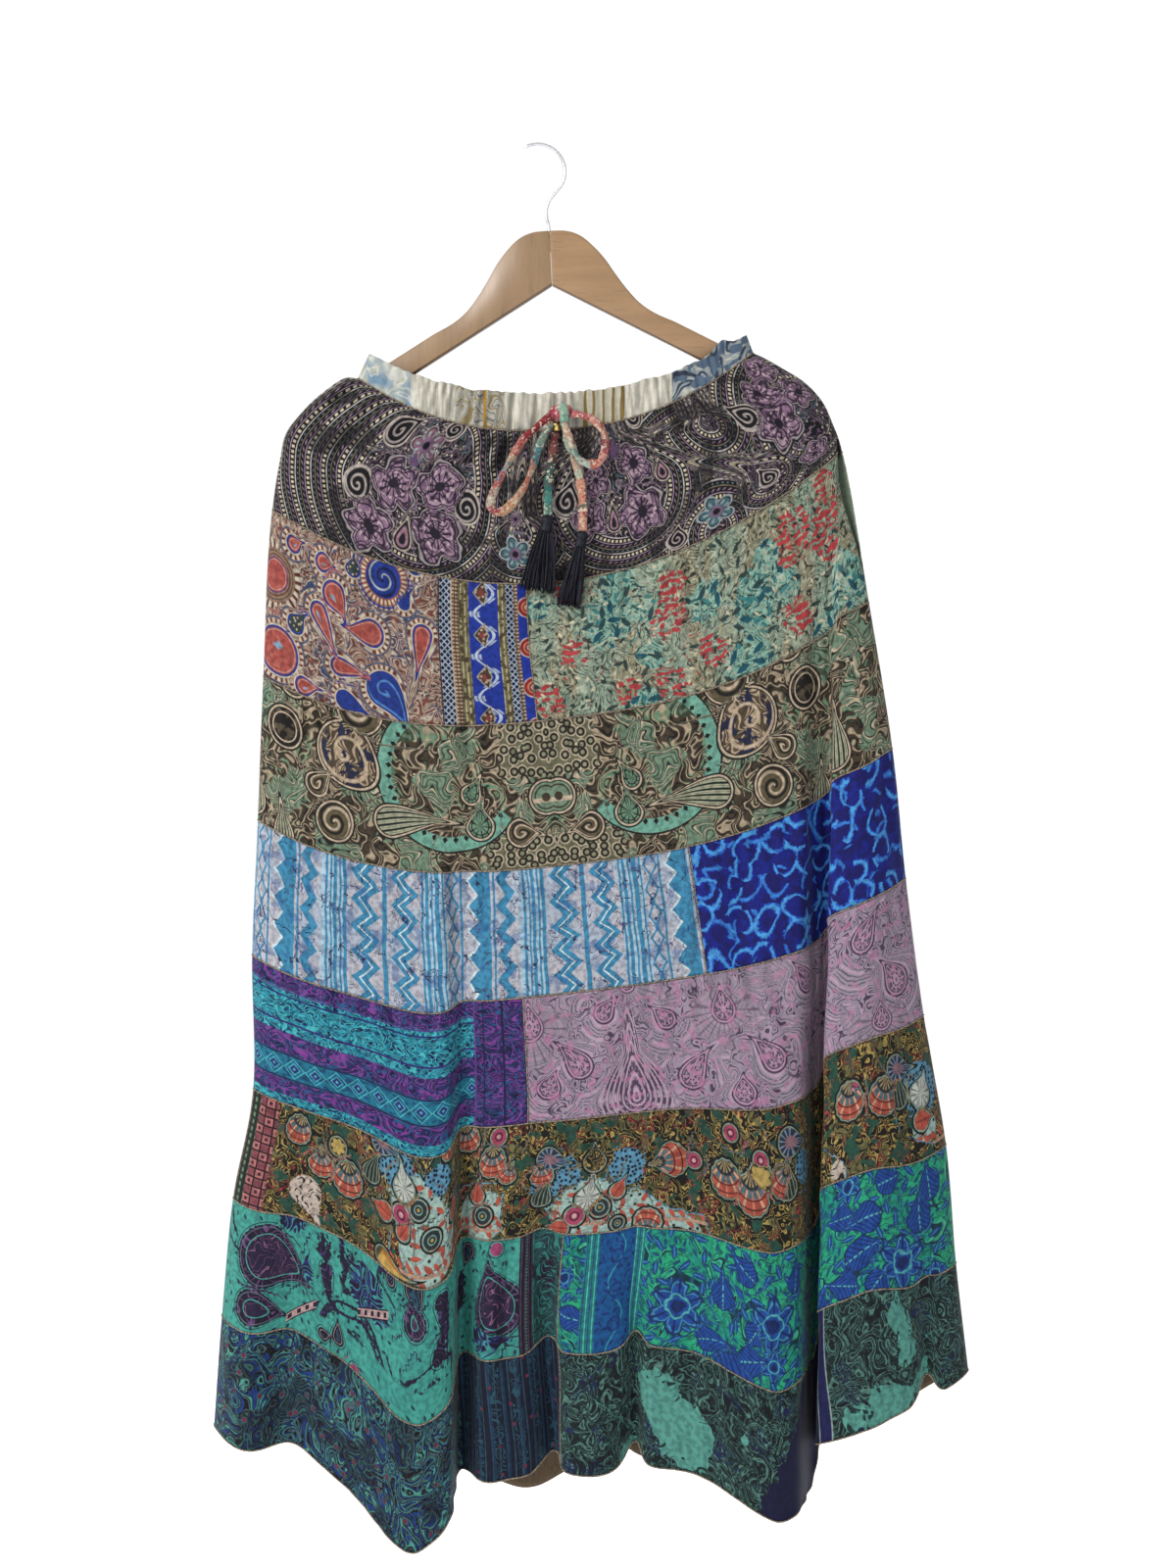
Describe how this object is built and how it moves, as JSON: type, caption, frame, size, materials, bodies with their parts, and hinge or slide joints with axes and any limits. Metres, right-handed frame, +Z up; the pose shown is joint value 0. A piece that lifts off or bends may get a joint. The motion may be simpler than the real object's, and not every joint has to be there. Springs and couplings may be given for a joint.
{
  "type": "tiered patchwork maxi skirt on a wooden hanger",
  "caption": "Tiered patchwork maxi skirt with an elastic waistband, drawstring bow and tassels, hung flat on a wooden hanger with a steel hook",
  "frame": {"origin": "underside of the top of the hanger's hook, where a rail carries it", "axes": "+Z up, +X to the right of someone facing the front of the skirt, -Y out of its front"},
  "size_m": [0.6786, 0.1282, 1.2477],
  "materials": {
    "waistband_cloth": "thin printed rayon, cream with faint blue and brown strips, gathered on elastic",
    "tier_1_cloth": "thin printed rayon, near-black with mauve flowers and dotted paisley stripes",
    "tier_2_left_cloth": "thin printed rayon, sand and coral paisley with cobalt stripes",
    "tier_2_right_cloth": "thin printed rayon, mint with coral and teal leaves",
    "tier_3_cloth": "thin printed rayon, sage and olive paisley with cream outlines",
    "tier_4_left_cloth": "thin printed rayon, pale grey with sky-blue zigzag stripes",
    "tier_4_right_cloth": "thin printed rayon, royal blue with light-blue squiggles",
    "tier_5_left_cloth": "thin printed rayon, turquoise and purple bands",
    "tier_5_right_cloth": "thin printed rayon, dusty mauve with fine paisley lines",
    "tier_6_cloth": "thin printed rayon, dark ground with mustard, coral and mint flowers",
    "tier_7_left_cloth": "thin printed rayon, turquoise with navy paisley",
    "tier_7_right_cloth": "thin printed rayon, aqua with royal-blue flowers",
    "tier_8_left_cloth": "thin printed rayon, dark teal with tight paisley",
    "tier_8_right_cloth": "thin printed rayon, forest green lace print on mint",
    "beech_wood": "satin lacquered beech",
    "hook_steel": "bright drawn steel wire",
    "drawstring_cloth": "sewn tube of printed rayon, coral, mint and cream",
    "bead_brass": "worn brass",
    "tassel_thread": "navy-black viscose thread"
  },
  "bodies": {
    "root": {"waistband_front": "waistband_cloth", "waistband_back": "waistband_cloth", "tier_1_front": "tier_1_cloth", "tier_1_back": "tier_1_cloth", "tier_2_front_left": "tier_2_left_cloth", "tier_2_front_right": "tier_2_right_cloth", "tier_2_back": "tier_2_right_cloth", "tier_3_front": "tier_3_cloth", "tier_3_back": "tier_3_cloth", "tier_4_front_left": "tier_4_left_cloth", "tier_4_front_right": "tier_4_right_cloth", "tier_4_back": "tier_4_right_cloth", "tier_5_front_left": "tier_5_left_cloth", "tier_5_front_right": "tier_5_right_cloth", "tier_5_back": "tier_5_right_cloth", "tier_6_front": "tier_6_cloth", "tier_6_back": "tier_6_cloth", "tier_7_front_left": "tier_7_left_cloth", "tier_7_front_right": "tier_7_right_cloth", "tier_7_back": "tier_7_right_cloth", "tier_8_front_left": "tier_8_left_cloth", "tier_8_front_right": "tier_8_right_cloth", "tier_8_back": "tier_8_left_cloth", "hanger_arm_left": "beech_wood", "hanger_arm_right": "beech_wood", "hanger_hook": "hook_steel", "drawstring_knot": "drawstring_cloth", "drawstring_loop_left": "drawstring_cloth", "drawstring_loop_right": "drawstring_cloth", "drawstring_tail_left": "drawstring_cloth", "drawstring_tail_right": "drawstring_cloth", "drawstring_bead": "bead_brass", "tassel_left": "tassel_thread", "tassel_right": "tassel_thread"}
  },
  "joints": []
}
